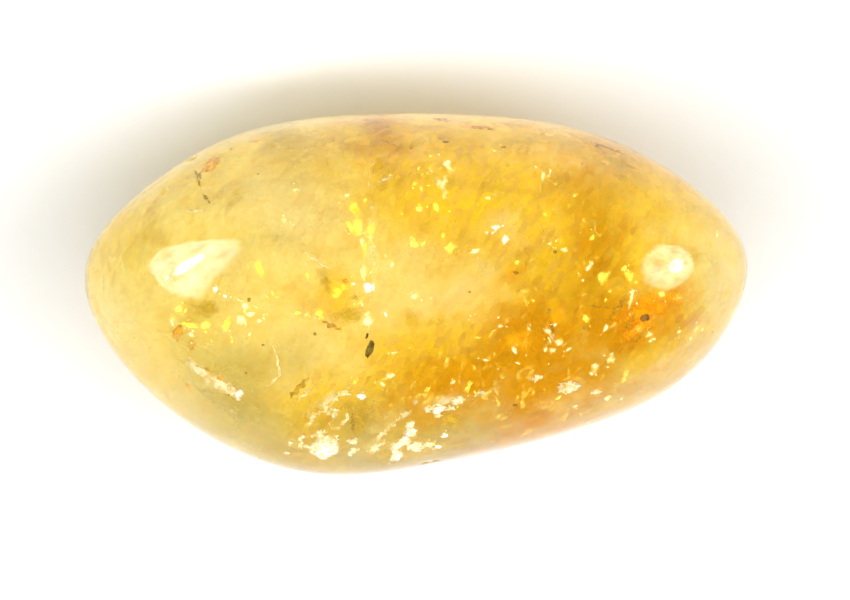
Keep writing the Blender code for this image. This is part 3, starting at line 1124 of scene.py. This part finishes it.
class STONE_OT_flashes(bpy.types.Operator):
    """Build the small flat breaks that catch the light"""

    bl_idname = "stone.flashes"
    bl_label = "Flashes"

    def execute(self, context):
        rng = np.random.default_rng(7)
        for name, kind, table, swell in (
            ("yellow_flashes", "yellow_flash", YELLOW_FLASHES, 1.6),
            ("pale_flashes", "pale_flash", PALE_FLASHES, 1.6),
            ("white_sparkles", "white_sparkle", WHITE_SPARKLES, 1.15),
        ):
            mesh = new_mesh()
            for middle, up, long, wide, turn in placed(table):
                self.flash(mesh, middle, up, turn, long * swell, wide * swell, rng)
            new_piece(name, mesh, mineral(kind), smooth=False)
        self.flecks(rng)
        return {"FINISHED"}

    def flash(self, mesh, middle, up, turn, long, wide, rng):
        """One flat break with a few chips round it."""
        add_flake(mesh, middle, tilted(up, 12, rng), turn, long, wide, PLATE_THICKNESS, rng)
        along, across = plate_axes(up, turn)
        for _ in range(int(rng.integers(2, 6))):
            off = along * rng.normal(0, 0.55) * long + across * rng.normal(0, 0.7) * wide
            spot = middle + off - up * rng.uniform(-0.1, 0.5) * MM
            reach, size = rng.uniform(0.2, 0.55), rng.uniform(0.2, 0.5)
            way = turn + rng.normal(0, 25)
            facing = tilted(up, 25, rng)
            add_flake(mesh, spot, facing, way, long * reach, wide * size, CHIP_THICKNESS, rng)

    def flecks(self, rng):
        """Faint golden flecks all through the amber half."""
        mesh = new_mesh()
        heart = Vector((0.0, 0.0, VIEW_LEVEL))
        made = 0
        while made < FLECK_COUNT:
            way = Vector(rng.normal(size=3)).normalized()
            point, normal, _, _ = skin_tree().ray_cast(heart, way)
            middle = point - normal * rng.uniform(0.6, 2.2) * MM
            if zone_strength(np.array([middle]), AMBER_ZONES + RUST_ZONES)[0] < rng.uniform(0.1, 0.7):
                continue
            long, wide = rng.uniform(6, 22) * PIXEL, rng.uniform(3, 8) * PIXEL
            turn = rng.normal(60, 35)
            facing = tilted(normal, 30, rng)
            add_flake(mesh, middle, facing, turn, long, wide, PLATE_THICKNESS, rng)
            made += 1
        new_piece("gold_flecks", mesh, mineral("gold_fleck"), smooth=False)


class STONE_OT_cracks(bpy.types.Operator):
    """Build the healed cracks, the brown seams and the breaks that run down into the stone"""

    bl_idname = "stone.cracks"
    bl_label = "Cracks"

    def execute(self, context):
        rng = np.random.default_rng(11)
        for name, kind, threads, plates in (
            ("cream_cracks", "cream_crack", CREAM_THREADS, CREAM_PLATES),
            ("brown_seams", "brown_seam", BROWN_THREADS, []),
            ("olive_breaks", "olive_break", [], OLIVE_PLATES),
            ("gold_breaks", "gold_break", [], GOLD_PLATES),
            ("iron_breaks", "iron_break", [], IRON_PLATES),
        ):
            mesh = new_mesh()
            for wide, depth, path in threads:
                add_thread(mesh, [inside(x, y, depth) for x, y in path], wide * PIXEL, rng)
            for outline in plates:
                add_plate(mesh, [inside(*spot) for spot in outline], PLATE_THICKNESS, rng)
            new_piece(name, mesh, mineral(kind))
        mesh = new_mesh()
        for number, (deep, lean, path) in enumerate(DEEP_BREAKS):
            add_break(mesh, [inside(*spot) for spot in path], deep * MM, lean * MM, number)
        new_piece("deep_breaks", mesh, mineral("deep_break"))
        return {"FINISHED"}


class STONE_OT_inclusions(bpy.types.Operator):
    """Build the crystals, stains and white feathers that the quartz grew round"""

    bl_idname = "stone.inclusions"
    bl_label = "Inclusions"

    def execute(self, context):
        rng = np.random.default_rng(23)
        for name, kind, table, tall, rough in (
            ("olive_crystals", "olive_crystal", OLIVE_CRYSTALS, 0.35, 0.25),
            ("dull_specks", "dull_speck", DULL_SPECKS, 0.35, 0.5),
            ("iron_stains", "iron_stain", IRON_STAINS, 0.25, 0.7),
            ("iron_speck", "iron_speck", [IRON_SPECK], 0.5, 0.4),
        ):
            mesh = new_mesh()
            for middle, up, long, wide, turn in placed(table):
                sizes = (long / 2, wide / 2, wide / 2 * tall)
                facing = tilted(up, 8, rng)
                seed = float(rng.uniform(0, 50))
                add_lump(mesh, middle, facing, turn, sizes, rough, seed, soft=name == "iron_stains")
            new_piece(name, mesh, mineral(kind))
        for name, kind, table in (
            ("white_feathers", "white_feather", WHITE_FEATHERS),
            ("cream_feathers", "cream_feather", CREAM_FEATHERS),
        ):
            mesh = new_mesh()
            for middle, up, long, wide, turn in placed(table):
                sizes = (long * 0.52, wide * 0.52, wide * 0.15)
                add_lump(mesh, middle, up, turn, sizes, 0.9, float(rng.uniform(0, 50)), soft=True)
                add_crumbs(mesh, middle, up, turn, long, wide, rng)
            new_piece(name, mesh, mineral(kind))
        return {"FINISHED"}


class STONE_OT_stage(bpy.types.Operator):
    """Build the floor, lights and camera"""

    bl_idname = "stone.stage"
    bl_label = "Stage"

    def execute(self, context):
        scene = context.scene
        scene.world = self.studio(scene.stage_setup)
        self.floor()
        self.camera(scene.stage_setup)
        self.lamps()
        scene.view_settings.view_transform = "Standard"
        scene.cycles.use_denoising = True
        scene.cycles.use_light_tree = False
        scene.cycles.max_bounces = 6
        scene.cycles.diffuse_bounces = 3
        scene.cycles.transmission_bounces = 5
        scene.cycles.transparent_max_bounces = 16
        scene.cycles.caustics_refractive = False
        scene.cycles.caustics_reflective = False
        return {"FINISHED"}

    def studio(self, setup):
        """Soft light from all round, weak overhead and stronger towards the horizon."""
        world = bpy.data.worlds.new("soft_studio")
        world.use_nodes = True
        tree = world.node_tree
        way = add_node(tree, "TexCoord")["Generated"]
        height = reckon(tree, "ABSOLUTE", add_node(tree, "SeparateXYZ", {0: way})["Z"])
        band = reckon(tree, "POWER", reckon(tree, "SUBTRACT", 1.0, height), 4.0)
        even = reckon(tree, "MULTIPLY_ADD", band, setup.horizon, setup.sky)
        fill(tree, tree.nodes["Background"], {"Color": (1.0, 1.0, 1.0), "Strength": even})
        return world

    def floor(self):
        """A plain pale floor, just under the stone."""
        material, tree, output = new_material("pale_floor")
        grain = grainy(tree, own_place(tree), scale=900.0)
        tone = blend(tree, grain, (0.92, 0.92, 0.91), (0.94, 0.94, 0.935))
        shader = add_node(tree, "BsdfPrincipled", {"Base Color": tone, "Roughness": 0.9})
        fill(tree, output, {"Surface": shader[0]})
        mesh = bmesh.new()
        bmesh.ops.create_grid(mesh, x_segments=8, y_segments=8, size=FLOOR_REACH)
        floor = new_object("floor", mesh, material)
        floor.location.z = -FLOOR_DROP

    def camera(self, setup):
        """The camera, straight above, with the picture's scale."""
        data = bpy.data.cameras.new("camera")
        data.sensor_width = SENSOR_WIDTH
        data.lens = data.sensor_width * setup.view_distance / (PICTURE[0] * PIXEL)
        camera = bpy.data.objects.new("camera", data)
        camera.location = eye_place()
        bpy.context.scene.collection.objects.link(camera)
        bpy.context.scene.camera = camera

    def lamps(self):
        """Three lamps that light the stone, and the soft boxes that its skin mirrors."""
        # Name, way from the middle, distance, length and width in metres, watts, turn in degrees
        boxes = (
            ("left_box", (-1.12, 0.13, 1.0), 0.35, (0.27, 0.43), 2.0, -116),
            ("right_box", (1.0, 0.06, 1.0), 0.35, (0.27, 0.22), 0.95, -15),
            ("left_core", (-1.08, 0.06, 1.0), 0.34, (0.15, 0.05), 0.28, -35),
            ("right_core", (1.0, 0.03, 0.92), 0.34, (0.09, 0.06), 0.18, -20),
        )
        lamps = (
            ("left_lamp", (-1.0, -0.32, 1.0), 0.35, (0.25, 0.25), 0.47, 0),
            ("right_lamp", (1.0, -0.14, 1.0), 0.35, (0.25, 0.25), 0.61, 0),
            ("near_lamp", (0.06, -0.33, 1.0), 0.45, (0.80, 0.08), 1.92, 0),
        )
        for name, way, far, size, power, turn in boxes + lamps:
            data = bpy.data.lights.new(name, "AREA")
            data.shape = "ELLIPSE"
            data.size, data.size_y = size
            data.energy = power
            lamp = bpy.data.objects.new(name, data)
            spot = Vector(way).normalized() * far
            lamp.location = spot
            lamp.rotation_euler = spot.to_track_quat("Z", "Y").to_euler()
            lamp.rotation_euler.rotate_axis("Z", math.radians(turn))
            mirrored = not name.endswith("lamp")
            lamp.visible_diffuse = not mirrored
            lamp.visible_glossy = lamp.visible_transmission = mirrored
            if mirrored:
                self.soften(data, 0.45 if name == "left_box" else 0.15)
            bpy.context.scene.collection.objects.link(lamp)

    def soften(self, data, taper):
        """Lets a box fade towards its rim, a little unevenly, and taper to one end."""
        data.use_nodes = True
        tree = data.node_tree
        place = add_node(tree, "NewGeometry")["Parametric"]
        parts = add_node(tree, "SeparateXYZ", {0: place})
        along = reckon(tree, "MULTIPLY_ADD", parts["X"], 2.0, -1.0)
        across = reckon(tree, "MULTIPLY_ADD", parts["Y"], 2.0, -1.0)
        narrow = reckon(tree, "MULTIPLY_ADD", along, taper, 1.0 + taper / 2)
        across = reckon(tree, "MULTIPLY", across, narrow)
        away = reckon(tree, "MULTIPLY", along, along)
        away = reckon(tree, "MULTIPLY_ADD", across, across, away)
        ripple = grainy(tree, place, scale=5.0, detail=4.0, rough=0.6)
        away = reckon(tree, "MULTIPLY_ADD", ripple, 0.9, away)
        fade = ranged(tree, away, 1.32, 0.98, curve="SMOOTHSTEP")
        mottled = reckon(tree, "MULTIPLY_ADD", ripple, 3.0, -0.55)
        bright = reckon(tree, "MULTIPLY", fade, mottled)
        fill(tree, tree.nodes["Emission"], {"Strength": bright})


class STONE_PT_panel(bpy.types.Panel):
    """The stone's operators"""

    bl_label = "Tumbled stone"
    bl_idname = "STONE_PT_panel"
    bl_space_type = "VIEW_3D"
    bl_region_type = "UI"
    bl_category = "Stone"

    def draw(self, context):
        for operator in OPERATORS:
            self.layout.operator(operator.bl_idname)


GROUPS = {"stone_form": StoneForm, "quartz_look": QuartzLook, "stage_setup": StageSetup}
OPERATORS = [
    STONE_OT_polished_stone,
    STONE_OT_clouds,
    STONE_OT_flashes,
    STONE_OT_cracks,
    STONE_OT_inclusions,
    STONE_OT_stage,
]


def register():
    for name, group in GROUPS.items():
        bpy.utils.register_class(group)
        setattr(bpy.types.Scene, name, bpy.props.PointerProperty(type=group))
    for cls in [*OPERATORS, STONE_PT_panel]:
        bpy.utils.register_class(cls)


def unregister():
    for cls in reversed([*OPERATORS, STONE_PT_panel]):
        bpy.utils.unregister_class(cls)
    for name, group in GROUPS.items():
        delattr(bpy.types.Scene, name)
        bpy.utils.unregister_class(group)


def main():
    register()
    bpy.ops.stone.polished_stone()
    bpy.ops.stone.clouds()
    bpy.ops.stone.flashes()
    bpy.ops.stone.cracks()
    bpy.ops.stone.inclusions()
    bpy.ops.stone.stage()


if __name__ == "__main__":
    main()
